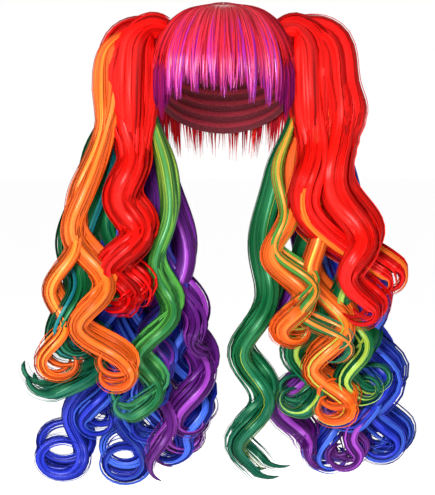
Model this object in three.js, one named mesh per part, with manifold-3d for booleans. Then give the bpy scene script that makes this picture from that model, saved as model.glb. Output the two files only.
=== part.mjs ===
// Long rainbow wig: a hollow crown, a straight fringe, temple locks, nape-length back hair, and two high
// ponytails of wavy locks in red, orange, green, blue and purple.
// Millimetres, +Z up. The face looks along -Y, and +X is on the right of someone who looks at the face.
// The origin is the top of the hollow, where the top of the head meets the cap.
import * as THREE from "three";
import { mergeVertices } from "three/addons/utils/BufferGeometryUtils.js";
import Module from "manifold-3d";

const { degToRad: radians, lerp, smoothstep: smooth } = THREE.MathUtils;
const wasm = await Module();
wasm.setup();

// The hollow that takes the head: half its width and length, and its height above its widest level.
const HEAD = { halfWidth: 76, halfLength: 95, height: 75 };
const SQUARENESS = 2.35; // exponent of the hollow's outline, where 2 is an ellipse
const DROP = 120; // fall of the wall below its widest level for one unit of "along"
const TUCK = 0.16; // share of its radius that the wall loses over the first DROP below the widest level
const WALL = 8; // cap net with the hair sewn on it
const GAP = 0.4; // clearance between neighbouring pieces
const CURTAIN_LIFT = 2.2; // how far the straight hair lies off the crown's ribs
const RIM = { front: -38, ear: -88, nape: -138 }; // height of the crown's edge at three bearings
const CROWN = { around: 32, down: 7, ribs: 8, ribHeight: 1.1 };

// Each finish is the hair's colour and gloss.
const FINISHES = {
  crown_red: { color: 0xd92a3c, roughness: 0.42 },
  fringe_magenta: { color: 0xc81e86, roughness: 0.35 },
  temple_purple: { color: 0x8c1a6a, roughness: 0.38 },
  red: { color: 0xee1414, roughness: 0.4 },
  orange: { color: 0xf26a1e, roughness: 0.4 },
  lime: { color: 0x8fc33c, roughness: 0.4 },
  green: { color: 0x12824e, roughness: 0.4 },
  blue: { color: 0x2337b8, roughness: 0.4 },
  indigo: { color: 0x2a2a78, roughness: 0.4 },
  purple: { color: 0x7a2596, roughness: 0.4 },
  clip_black: { color: 0x1c1a1c, roughness: 0.5 },
};

// Straight hair that lies on the crown and hangs past its edge. Bearings are degrees from the front towards
// +X, tops and tips are lengths along the wall, narrow is the share of width lost at the tips, ragged is how
// far the gaps between the strips reach up, and crest is the extra thickness in the middle of a strip.
const CURTAINS = table(
  "piece               finish          from  to   strips top   tip   narrow ragged thick crest",
  ["fringe",             "fringe_magenta", -45, 45, 13, 0.10, 1.13, 0.00, 0.14, 3.0, 1.8],
  ["left_temple_lock",   "temple_purple",  -64, -46, 2, 0.30, 1.42, 0.55, 0.25, 3.0, 2.0],
  ["right_temple_lock",  "temple_purple",  46, 64, 2, 0.30, 1.45, 0.55, 0.25, 3.0, 2.0],
  ["back_hair",          "crown_red",      113, 247, 9, 0.12, 1.78, 0.10, 0.10, 4.0, 2.5],
);

// The thick head of each ponytail arches out of the crown and turns down.
const TAIL_HEADS = table(
  "piece               x     y    z     wide thick",
  ["left_red_hair",      -62,  4,  -28,  19,  24],
  ["left_red_hair",      -86,  6,  -24,  25,  36],
  ["left_red_hair",     -106,  6,  -40,  30,  42],
  ["left_red_hair",     -112,  4,  -76,  32,  44],
  ["left_red_hair",     -110, -4, -120,  29,  32],
  ["left_red_hair",     -108, -18, -170, 16,  14],
  ["left_orange_hair",  -110, -20, -20,   8,  12],
  ["left_orange_hair",  -129, -20, -46,  14,  20],
  ["left_orange_hair",  -131, -20, -92,  18,  22],
  ["left_orange_hair",  -132, -22, -130, 12,  14],
  ["right_red_hair",      62,  4,  -28,  19,  24],
  ["right_red_hair",      90,  6,  -23,  26,  36],
  ["right_red_hair",     113,  6,  -40,  32,  42],
  ["right_red_hair",     118,  4,  -78,  34,  44],
  ["right_red_hair",     121, -4, -122,  35,  32],
  ["right_red_hair",     124, -18, -172, 18,  14],
);

// One plain clip at the base of each ponytail, hidden between the crown and the hair.
const CLIP = { x: 80, y: 2, z: -30, radius: 13, length: 14 };

// Every bundle of one colour grows from one root.
const BUNDLES = table(
  "piece               finish    x     y    z",
  ["left_orange_hair",   "orange", -127, -22, -88],
  ["left_red_hair",      "red",     -94, -16, -48],
  ["right_red_hair",     "red",     106, -16, -48],
  ["left_back_lock",     "red",    -106,  34, -34],
  ["right_back_lock",    "red",     112,  34, -34],
  ["left_lime_lock",     "lime",    -76,  -6, -98],
  ["right_lime_lock",    "lime",     78, -14, -108],
  ["left_indigo_lock",   "indigo",  -76,  16, -104],
  ["right_orange_hair",  "orange",   84, -10, -132],
  ["right_face_lock",    "green",    86,  12, -84],
  ["left_green_hair",    "green",  -124,  16, -112],
  ["right_green_hair",   "green",   126,  16, -116],
  ["left_purple_hair",   "purple",  -94,  28, -108],
  ["right_purple_hair",  "purple",  108,  28, -112],
  ["left_blue_hair",     "blue",   -112,  42, -100],
  ["right_blue_hair",    "blue",    124,  42, -104],
);

// The locks. x, y and z are the tip, bow pushes the middle sideways, wide and slim are half the width at the
// root and the tip, thick is half the depth, sway is the sideways reach of the waves, waves and phase count
// them, and ring is the radius of a ring curl at the tip, negative where it turns to the left.
const LOCKS = table(
  "piece               x     y    z     bow  wide slim thick sway waves phase ring",
  ["left_orange_hair",  -208, -50, -424,  -5, 21, 12,  12,  13,  2.45, 0.42,   0],
  ["left_orange_hair",  -128, -60, -424, -24, 17, 13,  11,  24,  2.05, 0.20,   0],
  ["left_red_hair",     -123, -50, -345,   3, 29, 17,  14,  15,  2.95, 0.77,   0],
  ["left_red_hair",      -88, -34, -322,   2, 24, 16,  14,  12,  2.20, 0.60,   0],
  ["left_back_lock",    -112,  76, -345,  -6, 34, 18,  13,  11,  2.20, 0.50,   0],
  ["right_red_hair",     162, -46, -308, -24, 29, 19,  14,  32,  0.79, 0.34,   0],
  ["right_red_hair",     180, -56, -345,   2, 31, 18,  14,  22,  1.87, 0.20,   0],
  ["right_back_lock",    140,  76, -345,   6, 36, 18,  13,  11,  2.20, 0.10,   0],
  ["right_orange_hair",   84, -36, -378,  -6, 15, 14,  11,  18,  1.75, 0.01,   0],
  ["right_orange_hair",  128, -38, -462,   8, 15, 10,  11,  21,  2.25, 0.08, -12],
  ["left_lime_lock",     -99, -30, -470,  10, 13, 14,  11,  16,  2.55, 0.98,   0],
  ["right_lime_lock",    131, -36, -397, -38, 10, 10,   9,  16,  2.60, 0.775,  0],
  ["left_indigo_lock",   -86,  -8, -440,  16, 12, 13,  10,  14,  2.55, 0.98,   0],
  ["right_face_lock",     30, -26, -536,  -8, 14, 17,  11,  15,  2.72, 0.37,   0],
  ["left_green_hair",   -178, -24, -385,  -6, 20, 19,  12,   8,  1.60, 0.30,   0],
  ["left_green_hair",   -192, -14, -440,  24, 18, 11,  11,  28,  2.10, 0.45, -11],
  ["right_green_hair",   153, -18, -452,   6, 18, 17,  11,  13,  2.40, 0.60,   0],
  ["right_green_hair",    93, -16, -466,  -6, 18, 16,  11,  14,  2.40, 0.10,   0],
  ["left_purple_hair",   -39,  -8, -380,   0, 16, 19,  12,  15,  1.33, 0.14,   0],
  ["left_purple_hair",   -70,   6, -520,  -4, 17, 10,  11,  13,  2.30, 0.45,  11],
  ["left_purple_hair",   -39,  14, -482,  16, 16, 16,  11,  18,  1.85, 0.90,   0],
  ["left_purple_hair",   -52,  36, -500,   4, 16, 10,  11,  16,  2.60, 0.20,  16],
  ["right_purple_hair",   75,   8, -500,  -6, 18, 10,  11,  18,  2.60, 0.70, -18],
  ["right_purple_hair",  162,   6, -520,   4, 17, 13,  11,  12,  2.60, 0.30,   0],
  ["left_blue_hair",    -179,  18, -523,  10, 20, 11,  11,  14,  2.15, 0.10, -21],
  ["left_blue_hair",    -108,  24, -523,  -6, 20, 11,  11,  14,  2.35, 0.90, -19],
  ["left_blue_hair",     -33,  34, -515,   8, 19, 16,  11,  15,  2.60, 0.20,   0],
  ["left_blue_hair",    -140,  56, -470,   6, 22, 16,  12,  14,  2.30, 0.60,   0],
  ["right_blue_hair",    191,  12, -500,  10, 20, 18,  12,  14,  2.95, 0.12,   0],
  ["right_blue_hair",    192,  38, -501,   6, 19, 11,  11,  12,  2.60, 0.65, -16],
  ["right_blue_hair",    122,  36, -535,   4, 20, 17,  11,  13,  2.40, 0.40,   0],
  ["right_blue_hair",    150,  56, -470,   6, 22, 16,  12,  14,  2.30, 0.40,   0],
);
const TIGHTEN = 1.8; // the waves of a lock get shorter towards its tip
const DEPTH_SWAY = 0.35; // front-to-back reach of the waves against their sideways reach
const MOST_SLANT = 1.6; // most that a level section widens where its lock runs aslant
const SIDES = { head: 6, lock: 4, ring: 5 };
const STEPS_PER_WAVE = 4.5;
const STEPS_AT_ROOT = 2;
const RING_STEPS = 9;
const RING_TURN = radians(400);
const RING_DRIFT = 2.4; // how far back a ring ends, against half the width of its hair

// Rows of a table as objects, by the names in its heading.
function table(heading, ...rows) {
  const columns = heading.trim().split(/\s+/);
  return rows.map((row) => Object.fromEntries(columns.map((column, i) => [column, row[i]])));
}

// A point of the head's wall. along is 0 at the top, 1 at the widest level and more below it, and lift is the
// distance out from the hollow.
function wallPoint(bearing, along, lift) {
  const angle = Math.min(along, 1) * (Math.PI / 2);
  const below = Math.max(along - 1, 0);
  const out = Math.sin(angle) ** (2 / SQUARENESS) * (1 - TUCK * below * below);
  const up = Math.max(Math.cos(angle), 0) ** (2 / SQUARENESS) * (HEAD.height + lift) - below * DROP;
  return new THREE.Vector3(
    (HEAD.halfWidth + lift) * out * Math.sin(bearing),
    -(HEAD.halfLength + lift) * out * Math.cos(bearing),
    up - HEAD.height,
  );
}

// Length along the wall to the crown's edge at a bearing.
function rimAlong(bearing) {
  const turn = Math.abs(Math.atan2(Math.sin(bearing), Math.cos(bearing))) / (Math.PI / 2);
  const height =
    turn < 1
      ? lerp(RIM.front, RIM.ear, smooth(turn, 0.35, 1))
      : lerp(RIM.ear, RIM.nape, smooth(turn, 1, 1.8));
  const above = (height + HEAD.height) / HEAD.height;
  return above > 0
    ? Math.acos(above ** (SQUARENESS / 2)) / (Math.PI / 2)
    : 1 - (height + HEAD.height) / DROP;
}

// A closed geometry as a solid.
function solidOf(geometry) {
  geometry.deleteAttribute("normal");
  geometry.deleteAttribute("uv");
  const merged = mergeVertices(geometry, 1e-3);
  return new wasm.Manifold(
    new wasm.Mesh({
      numProp: 3,
      vertProperties: merged.attributes.position.array,
      triVerts: new Uint32Array(merged.index.array),
    }),
  );
}

// A lathed wall whose columns follow the head: the outside runs down to the edge, and the inside back up.
function crownSolid(outside, inside, extra) {
  const profile = [];
  for (let j = 0; j <= CROWN.down; j += 1) profile.push(new THREE.Vector2(j, -j));
  for (let j = CROWN.down; j >= 0; j -= 1) profile.push(new THREE.Vector2(j, -j - 1));
  const geometry = new THREE.LatheGeometry(profile, CROWN.around);
  const position = geometry.attributes.position;
  for (let k = 0; k < position.count; k += 1) {
    const column = Math.floor(k / profile.length) % CROWN.around;
    const row = k % profile.length;
    const isOutside = row <= CROWN.down;
    const share = (isOutside ? row : profile.length - 1 - row) / CROWN.down;
    const bearing = (column / CROWN.around) * 2 * Math.PI;
    const rib = CROWN.ribHeight * Math.cos(CROWN.ribs * bearing) * Math.sin(Math.PI * share);
    const point = wallPoint(
      -bearing,
      share * (rimAlong(bearing) + extra),
      isOutside ? outside + rib : inside,
    );
    position.setXYZ(k, point.x, point.y, point.z);
  }
  return solidOf(geometry);
}

// A sheet of strips on the head's wall, with pointed ends. grow thickens it all round.
function curtainSolid(row, grow) {
  const columns = row.strips * 2;
  const rows = Math.ceil((row.tip - row.top) * 3.5);
  const geometry = new THREE.BoxGeometry(1, 1, 1, columns, rows, 1);
  const position = geometry.attributes.position;
  const middle = radians((row.from + row.to) / 2);
  const half = radians((row.to - row.from) / 2) + grow / HEAD.halfWidth;
  for (let k = 0; k < position.count; k += 1) {
    const across = position.getX(k) * 2;
    const down = 0.5 - position.getY(k);
    const outside = position.getZ(k) > 0;
    const strip = ((across + 1) / 2) * row.strips;
    const ridge = Math.sin(Math.PI * (strip % 1)) ** 2;
    const uneven = 0.04 * Math.sin(7 * Math.floor(strip));
    const tip = row.tip - row.ragged * (1 - ridge) + uneven * ridge;
    const along = lerp(row.top - grow / DROP, tip + grow / DROP, down);
    const bearing = middle + across * half * (1 - row.narrow * down ** 3);
    const thickness = (row.thick + row.crest * ridge) * (1 - 0.5 * down ** 4);
    const lift = WALL + CROWN.ribHeight + CURTAIN_LIFT + (outside ? thickness + grow : -grow);
    const point = wallPoint(bearing, along, lift);
    position.setXYZ(k, point.x, point.y, point.z);
  }
  return solidOf(geometry);
}

// A tube of sections along a curve. widths gives the half width and half depth at a share of the length. The
// sections are square with the curve, or level where the curve only runs downwards.
function tubeSolid(curve, sides, steps, level, widths) {
  const geometry = new THREE.CylinderGeometry(1, 1, 1, sides, steps);
  const position = geometry.attributes.position;
  const front = new THREE.Vector3(0, -1, 0);
  for (let k = 0; k < position.count; k += 1) {
    const share = Math.max(0.5 - position.getY(k), 0);
    const { wide, thick } = widths(share);
    const back = level ? new THREE.Vector3(0, 0, 1) : curve.getTangent(share).negate();
    const side = new THREE.Vector3().crossVectors(back, front).normalize();
    const depth = new THREE.Vector3().crossVectors(side, back).normalize();
    const point = curve.getPoint(share);
    point.addScaledVector(side, position.getX(k) * wide);
    point.addScaledVector(depth, position.getZ(k) * thick);
    position.setXYZ(k, point.x, point.y, point.z);
  }
  return solidOf(geometry);
}

// Full width, rounded off to a blunt point at the end.
function pointed(share) {
  return Math.sqrt(Math.min(1, 0.06 + 6 * (1 - share)));
}

// A narrow root that widens to the full lock.
function rooted(share) {
  return lerp(0.5, 1, smooth(share, 0, 0.2));
}

// The line that a lock follows: from its root to its tip, bowed, with waves that grow and tighten.
class LockCurve extends THREE.Curve {
  constructor(root, lock) {
    super();
    this.root = root;
    this.lock = lock;
  }

  getPoint(share) {
    const { root, lock } = this;
    const sway = lock.sway * smooth(share, 0.1, 0.75);
    const turn = 2 * Math.PI * (lock.waves * share ** TIGHTEN + lock.phase);
    return new THREE.Vector3(
      lerp(root.x, lock.x, share) + 4 * lock.bow * share * (1 - share) + sway * Math.sin(turn),
      lerp(root.y, lock.y, share) + sway * DEPTH_SWAY * Math.cos(turn),
      lerp(root.z, lock.z, share),
    );
  }
}

// A ring curl that starts downwards from a lock's tip and ends behind it.
class RingCurve extends THREE.Curve {
  constructor(tip, lock) {
    super();
    this.tip = tip;
    this.lock = lock;
  }

  getPoint(share) {
    const { ring, slim } = this.lock;
    const turn = lerp(-0.3, RING_TURN, share);
    return new THREE.Vector3(
      this.tip.x + ring * (1 - Math.cos(turn)),
      this.tip.y + RING_DRIFT * slim * share,
      this.tip.z - Math.abs(ring) * Math.sin(turn),
    );
  }
}

function lockSolid(root, lock, grow) {
  const curve = new LockCurve(root, lock);
  const steps = Math.round(STEPS_PER_WAVE * lock.waves) + STEPS_AT_ROOT;
  const end = lock.ring ? () => 1 : pointed;
  const body = tubeSolid(curve, SIDES.lock, steps, true, (share) => {
    const slant = Math.min(-1 / curve.getTangent(share).z, MOST_SLANT);
    return {
      wide: lerp(lock.wide, lock.slim, share) * slant * rooted(share) * end(share) + grow,
      thick: lock.thick * rooted(share) * end(share) + grow,
    };
  });
  if (!lock.ring) return body;
  const turn = new RingCurve(curve.getPoint(1), lock);
  const ring = tubeSolid(turn, SIDES.ring, RING_STEPS, false, (share) => {
    const size = Math.min(lock.slim, 0.6 * Math.abs(lock.ring)) * pointed(share) + grow;
    return { wide: size, thick: size };
  });
  return body.add(ring);
}

function tailHeadSolid(sections, grow) {
  const curve = new THREE.CatmullRomCurve3(sections.map((s) => new THREE.Vector3(s.x, s.y, s.z)));
  const sizes = new THREE.CatmullRomCurve3(sections.map((s) => new THREE.Vector3(s.wide, s.thick, 0)));
  return tubeSolid(curve, SIDES.head, 2 * sections.length - 2, false, (share) => {
    const size = sizes.getPoint(share);
    return { wide: size.x + grow, thick: size.y + grow };
  });
}

function clipSolid(side, grow) {
  const radius = CLIP.radius + grow;
  const geometry = new THREE.CylinderGeometry(radius, radius, CLIP.length + 2 * grow, 12);
  geometry.rotateZ(Math.PI / 2);
  geometry.translate(side * CLIP.x, CLIP.y, CLIP.z);
  return solidOf(geometry);
}

const pieces = [];
let taken = null; // everything made so far, with its clearance

// Cuts a piece clear of those before it, keeps its main body and adds it with its own clearance.
function addPiece(name, finish, solid, clearance) {
  const cut = taken ? solid.subtract(taken) : solid;
  const bodies = cut.decompose().sort((a, b) => b.volume() - a.volume());
  pieces.push({ name, finish, solid: bodies[0] });
  taken = taken ? taken.add(clearance) : clearance;
}

function joined(solids) {
  return solids.reduce((all, solid) => all.add(solid));
}

addPiece(
  "crown",
  "crown_red",
  crownSolid(WALL, 0, 0),
  crownSolid(WALL + GAP, -2 * WALL, (4 * GAP) / DROP),
);
for (const row of CURTAINS) {
  addPiece(row.piece, row.finish, curtainSolid(row, 0), curtainSolid(row, GAP));
}
for (const [name, side] of [["left_tail_clip", -1], ["right_tail_clip", 1]]) {
  addPiece(name, "clip_black", clipSolid(side, 0), clipSolid(side, GAP));
}
for (const bundle of BUNDLES) {
  const locks = LOCKS.filter((lock) => lock.piece === bundle.piece);
  const sections = TAIL_HEADS.filter((section) => section.piece === bundle.piece);
  const fused = (grow) => {
    const solids = locks.map((lock) => lockSolid(bundle, lock, grow));
    return joined(sections.length ? [tailHeadSolid(sections, grow), ...solids] : solids);
  };
  addPiece(bundle.piece, bundle.finish, fused(0), fused(GAP));
}

function meshOf({ name, finish, solid }) {
  const { numProp, vertProperties, triVerts } = solid.getMesh();
  const geometry = new THREE.BufferGeometry();
  geometry.setAttribute("position", new THREE.BufferAttribute(new Float32Array(vertProperties), numProp));
  geometry.setIndex(new THREE.BufferAttribute(triVerts, 1));
  geometry.computeVertexNormals();
  const mesh = new THREE.Mesh(geometry, new THREE.MeshStandardMaterial({ metalness: 0, ...FINISHES[finish] }));
  mesh.name = name;
  return mesh;
}

const wig = new THREE.Group();
wig.add(...pieces.map(meshOf));

export default wig;
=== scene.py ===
"""A long rainbow wig: a cap with a fringe and two high side ponytails of waved locks."""

import math
from collections import namedtuple

import bpy
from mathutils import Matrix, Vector


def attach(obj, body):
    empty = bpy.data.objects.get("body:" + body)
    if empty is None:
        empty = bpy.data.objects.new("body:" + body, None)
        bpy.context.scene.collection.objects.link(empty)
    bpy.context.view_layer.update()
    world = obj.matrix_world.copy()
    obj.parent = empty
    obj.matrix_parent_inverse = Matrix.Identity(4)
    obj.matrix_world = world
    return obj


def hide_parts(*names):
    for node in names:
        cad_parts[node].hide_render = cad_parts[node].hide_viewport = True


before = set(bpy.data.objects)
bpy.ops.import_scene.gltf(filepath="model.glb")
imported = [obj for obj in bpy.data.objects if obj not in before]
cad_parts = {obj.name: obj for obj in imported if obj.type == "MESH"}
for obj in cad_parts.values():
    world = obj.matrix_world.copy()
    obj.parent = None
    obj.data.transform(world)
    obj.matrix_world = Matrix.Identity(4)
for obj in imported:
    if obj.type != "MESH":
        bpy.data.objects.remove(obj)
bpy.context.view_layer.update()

bl_info = {
    "name": "Rainbow Wig",
    "version": (1, 0, 0),
    "blender": (4, 5, 0),
    "location": "View3D > Sidebar > Wig",
    "description": "Lays wisps of hair over the cap, fringe and ponytails of a rainbow wig",
    "category": "Add Mesh",
}

# The cap's wall, in metres. Its hollow is a squared-off dome that runs on down to the nape, and the hair
# over it is a little rounder.
HOLLOW = {"wide": 0.076, "long": 0.095, "high": 0.075}
SQUARENESS = 2.35
HAIR_SQUARENESS = 2.12
DROP = 0.120
TUCK = 0.16
WALL = 0.008
RIM = {"front": -0.038, "ear": -0.088, "nape": -0.138}

# The net inside the cap: its faces round and down, its rows of wefts, how far off the hollow it lies, and
# how far along the cap its top begins.
NET_AROUND = 96
NET_DOWN = 40
WEFT_ROWS = 14
NET_LIFT = {"inner": 0.0022, "outer": 0.0050, "weft": 0.0012}
NET_TOP = 0.004

# How a lock waves: the waves tighten towards the tip, sway less in depth than sideways and grow from the
# root on. The lower part of a lock is fuller than its slim width.
TIGHTEN = 1.8
DEPTH_SWAY = 0.6
FULLER = 1.3
SWAY_GROWS = (0.1, 0.75)

# How big a lock is at its root, and where it has its full size.
ROOT_SIZE = 0.5
ROOT_END = 0.2

# How a lock curls: its ring is wider than high, and up to so many degrees it is a hook with a long point.
RING_WIDE = 1.25
HOOK = 100
HOOK_TAPER = 1.3
RING_TAPER = 6.0

# Between these heights the locks are eased out of the cap's wall.
CLEAR_LOW = -0.185
CLEAR_HIGH = -0.095

# How far to the left and right the middle of a tip may lie.
TIP_LEFT = -0.205
TIP_RIGHT = 0.196

# Where the hair of a ponytail's head runs into the locks below it.
JOIN_TOP = -0.072
JOIN_END = -0.205

# Stations along a lock and how they crowd towards its tip, degrees between those round its curl, and
# stations over a head and over the cap.
LOCK_STEPS = 46
STEP_EASE = 0.8
RING_STEP = 16
HEAD_STEPS = 28
STRIP_STEPS = 14

# How many wisps lie over a ponytail's head and over its full front, how much fuller locks are than their
# table says, and what share of wisps has the accent.
HEAD_WISPS = 50
FRONT_WISPS = 44
WISP_FILL = 1.05
HEAD_ACCENT = 0.04
CAP_ACCENT = 0.15
FRINGE_ACCENT = 0.56

# Where along a lock the accent begins: from the root on, or only below a ponytail's head.
FROM_ROOT = -0.3
BELOW_HEAD = 0.34

# The looks of the hair over the cap, of the red hair and of the other colours in the ponytails.
CAP_LOOK = {"gloss": 0.0, "roughness": 0.5}
RED_LOOK = {"gloss": 0.08, "streaks": 0.56}
BRIGHT_LOOK = {"gloss": 0.16, "streaks": 0.85}

# The hair over the cap lies flat: its core thins out fully towards the tips.
CAP_HAIR = {"Core": 0.8, "Core thinning": 1.0}

# Fine streaks for each metre across the hair, and how much slower they change along it.
STREAK_SCALE = 430.0
STREAK_STRETCH = 0.012

FORWARD = Vector((0.0, -1.0, 0.0))
HAIR_TREE = "Hair along guides"
HAIR_FINISH = "Hair finish"

Station = namedtuple("Station", "point side front wide thick along wisps accent", defaults=(0.0, 0.0))
Head = namedtuple("Head", "x y z wide thick")
Bundle = namedtuple("Bundle", "finish accent x y z locks")
Lock = namedtuple("Lock", "x y z bow wide slim thick sway waves phase ring curl wisps accent")
Part = namedtuple("Part", "across deep size drop swing lag turn")
Stream = namedtuple("Stream", "middle across size")
Clump = namedtuple("Clump", "bearing tip spread violet")

# How a lock parts: where across and how deep each part lies, its size, and how it waves and curls beside it.
PARTS = [
    Part(-0.72, 0.005, 0.68, 0.985, 0.92, -0.045, 0.88),
    Part(0.02, -0.006, 0.76, 1.000, 1.02, 0.000, 1.00),
    Part(0.76, 0.004, 0.66, 0.975, 1.06, 0.050, 1.10),
]

# Where hair that runs over a head lies on it, inwards or outwards, how far its parts spread, their size, and
# how deep they are over a slim head.
STREAMS = {
    "front": Stream(0.0, 0.8, 0.7),
    "inner": Stream(-0.36, 0.36, 0.66),
    "outer": Stream(0.5, 0.42, 0.66),
}
SLIM_HEAD = 0.7

# The columns that are lengths. The tables of heads, bundles and locks give them in millimetres.
LENGTHS = {"x", "y", "z", "bow", "wide", "slim", "thick", "sway", "ring"}

# Sections through each ponytail's full head, from the knot over its top and down.
TAIL_HEADS = {
    "left_red_hair": [
        Head(-62, 4, -28, 19, 24),
        Head(-86, 6, -24, 25, 36),
        Head(-106, 6, -40, 30, 42),
        Head(-112, 4, -76, 32, 44),
        Head(-110, -4, -120, 29, 32),
        Head(-108, -18, -170, 16, 14),
    ],
    "left_orange_hair": [
        Head(-110, -20, -20, 8, 12),
        Head(-129, -20, -46, 14, 20),
        Head(-131, -20, -92, 18, 22),
        Head(-132, -22, -130, 12, 14),
    ],
    "right_red_hair": [
        Head(62, 4, -28, 19, 24),
        Head(90, 6, -23, 26, 36),
        Head(113, 6, -40, 32, 42),
        Head(118, 4, -78, 34, 44),
        Head(126, -4, -122, 39, 32),
        Head(126, -18, -172, 18, 14),
    ],
}

# The full front of a ponytail's head, where it lies against the cap. The left is the mirror of the right.
FULL_FRONT = [
    Head(64, -20, -20, 14, 14),
    Head(83, -16, -18, 20, 22),
    Head(98, -14, -36, 25, 28),
    Head(101, -14, -74, 27, 29),
    Head(102, -18, -120, 26, 24),
    Head(104, -22, -170, 14, 10),
]

# Each bundle's finish, its accent, where its locks start, and its locks: where each one ends, its bow, size
# and waves, the ring that its tip curls in, that ring's turn in degrees, its wisps and their accent's share.
BUNDLES = {
    "left_orange_hair": Bundle("orange", "amber", -127, -22, -88, [
        Lock(-197, -50, -408, -12, 12, 10, 11, 11, 2.45, 0.42, 15, 205, 14, 0.12),
        Lock(-130, -60, -408, -31, 17, 13, 11, 21, 2.05, 0.2, -14, 230, 14, 0.12),
    ]),
    "left_red_hair": Bundle("red", "amber", -94, -16, -48, [
        Lock(-122, -50, -338, 3, 29, 17, 14, 14, 2.5, 0.9, -15, 80, 18, 0.04),
        Lock(-106, -44, -328, -8, 23, 16, 14, 13, 2.45, 0.93, -14, 80, 16, 0.08),
    ]),
    "right_red_hair": Bundle("red", "amber", 106, -16, -48, [
        Lock(161, -46, -300, -24, 29, 20, 14, 32, 0.79, 0.34, -14, 165, 20, 0.2),
        Lock(162, -56, -334, 1, 32, 18, 14, 14, 1.87, 0.2, -13, 210, 18, 0.04),
    ]),
    "left_back_lock": Bundle("red", "flame", -106, 24, -40, [
        Lock(-112, 76, -336, -6, 34, 18, 13, 11, 2.2, 0.5, 14, 220, 20, 0.05),
    ]),
    "right_back_lock": Bundle("red", "flame", 112, 24, -40, [
        Lock(140, 76, -336, 6, 36, 18, 13, 11, 2.2, 0.1, -14, 220, 20, 0.05),
    ]),
    "left_lime_lock": Bundle("lime", "green_body", -76, -6, -98, [
        Lock(-99, -38, -460, 20, 13, 12, 11, 16, 2.55, 0.98, -12, 180, 14, 0.5),
    ]),
    "right_lime_lock": Bundle("lime", "amber", 78, -14, -108, [
        Lock(131, -44, -388, -38, 7, 8, 9, 16, 2.6, 0.775, -16, 90, 12, 0.3),
    ]),
    "left_indigo_lock": Bundle("indigo", "purple_body", -76, 16, -104, [
        Lock(-86, -8, -432, 16, 12, 13, 10, 14, 2.55, 0.98, 12, 240, 12, 0.3),
    ]),
    "right_orange_hair": Bundle("orange", "spring", 90, -10, -126, [
        Lock(84, -36, -368, -16, 15, 14, 11, 18, 1.75, 0.01, 13, 240, 12, 0.2),
        Lock(124, -28, -462, 8, 15, 13, 11, 21, 2.25, 0.08, -15, 215, 14, 0.05),
    ]),
    "right_face_lock": Bundle("green", "spring", 86, 12, -84, [
        Lock(30, -26, -532, -14, 16, 14, 11, 16, 2.72, 0.37, 20, 62, 18, 0.1),
    ]),
    "left_green_hair": Bundle("green", "teal", -124, 16, -112, [
        Lock(-178, -46, -384, -9, 26, 19, 12, 10, 1.6, 0.3, 14, 200, 16, 0.1),
        Lock(-188, -20, -436, 24, 18, 14, 11, 28, 2.1, 0.45, -17, 125, 18, 0.12),
    ]),
    "right_green_hair": Bundle("green", "spring", 126, 16, -116, [
        Lock(153, -18, -444, 6, 18, 17, 11, 13, 2.4, 0.6, 13, 260, 14, 0.12),
        Lock(93, -16, -456, -6, 18, 16, 11, 14, 2.4, 0.1, -13, 230, 14, 0.2),
    ]),
    "left_purple_hair": Bundle("purple", "lilac", -94, 28, -108, [
        Lock(-39, -8, -374, -16, 16, 16, 12, 15, 1.33, 0.14, 16, 110, 16, 0.25),
        Lock(-72, 0, -528, -4, 17, 12, 11, 14, 2.3, 0.45, 18, 65, 14, 0.3),
        Lock(-39, 14, -474, 16, 16, 16, 11, 18, 1.85, 0.9, 14, 250, 14, 0.3),
        Lock(-52, 36, -500, 4, 16, 10, 11, 16, 2.6, 0.2, 16, 400, 12, 0.2),
    ]),
    "right_purple_hair": Bundle("purple", "lilac", 108, 28, -112, [
        Lock(80, 8, -508, -6, 21, 14, 11, 18, 2.6, 0.7, 20, 95, 14, 0.3),
        Lock(162, 6, -508, 4, 17, 13, 11, 12, 2.6, 0.3, -14, 300, 14, 0.3),
    ]),
    "left_blue_hair": Bundle("blue", "sky", -112, 14, -100, [
        Lock(-179, 18, -523, 10, 20, 11, 11, 14, 2.15, 0.1, -21, 400, 16, 0.1),
        Lock(-108, 24, -523, -6, 20, 11, 11, 14, 2.35, 0.9, -19, 400, 16, 0.3),
        Lock(-33, 34, -505, 8, 19, 16, 11, 15, 2.6, 0.2, -15, 300, 14, 0.3),
        Lock(-140, 56, -462, 6, 22, 16, 12, 14, 2.3, 0.6, 15, 280, 12, 0.1),
        Lock(-150, 4, -466, 0, 18, 15, 11, 15, 2.3, 0.35, 14, 260, 14, 0.3),
        Lock(-86, 8, -474, 4, 17, 14, 11, 14, 2.4, 0.7, -14, 260, 14, 0.3),
    ]),
    "right_blue_hair": Bundle("blue", "sky", 112, 14, -104, [
        Lock(191, 12, -490, 8, 20, 18, 12, 14, 2.95, 0.12, -16, 320, 16, 0.3),
        Lock(192, 38, -501, 6, 19, 11, 11, 12, 2.6, 0.65, -16, 400, 14, 0.3),
        Lock(122, 36, -524, 4, 20, 17, 11, 13, 2.4, 0.4, 14, 230, 16, 0.3),
        Lock(150, 56, -462, 6, 22, 16, 12, 14, 2.3, 0.4, -15, 280, 12, 0.1),
        Lock(164, 8, -474, 4, 18, 14, 11, 14, 2.4, 0.2, -14, 280, 14, 0.3),
    ]),
}

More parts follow.
